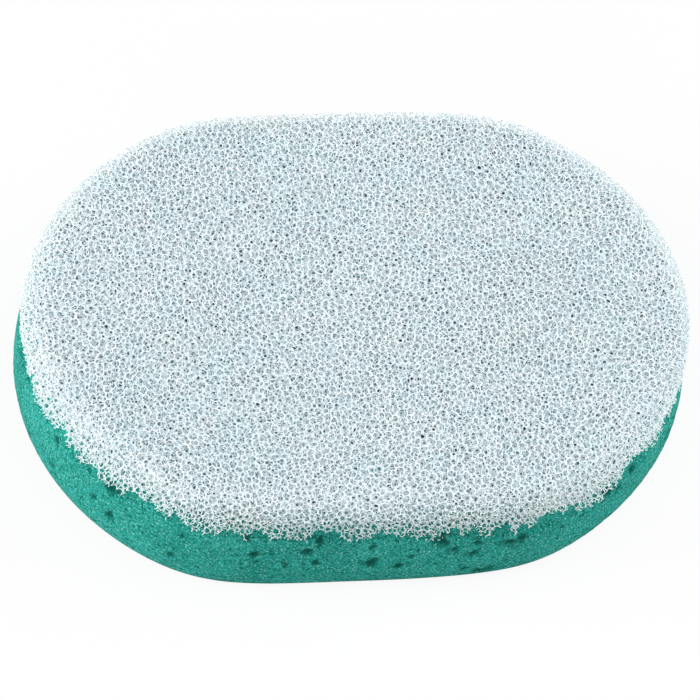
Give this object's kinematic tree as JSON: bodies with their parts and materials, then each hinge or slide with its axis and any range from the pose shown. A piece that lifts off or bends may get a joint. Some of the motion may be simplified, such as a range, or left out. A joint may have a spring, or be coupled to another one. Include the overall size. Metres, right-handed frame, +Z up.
{
  "type": "scrub sponge",
  "caption": "Oval scrub sponge: a coarse open-cell scrub foam layer bonded on a thick absorbent foam base, with rounded edges and a ragged fringe.",
  "frame": {"origin": "middle of the flat underside", "axes": "+X along the sponge's length, +Y across it, +Z up from the absorbent base to the scrub layer"},
  "size_m": [0.144, 0.1046, 0.029],
  "materials": {
    "base_foam": "matt, fine-celled absorbent foam",
    "scrub_foam": "matt, coarse open-cell foam"
  },
  "bodies": {
    "root": {"sponge_base": "base_foam", "scrub_layer": "scrub_foam"}
  },
  "joints": []
}
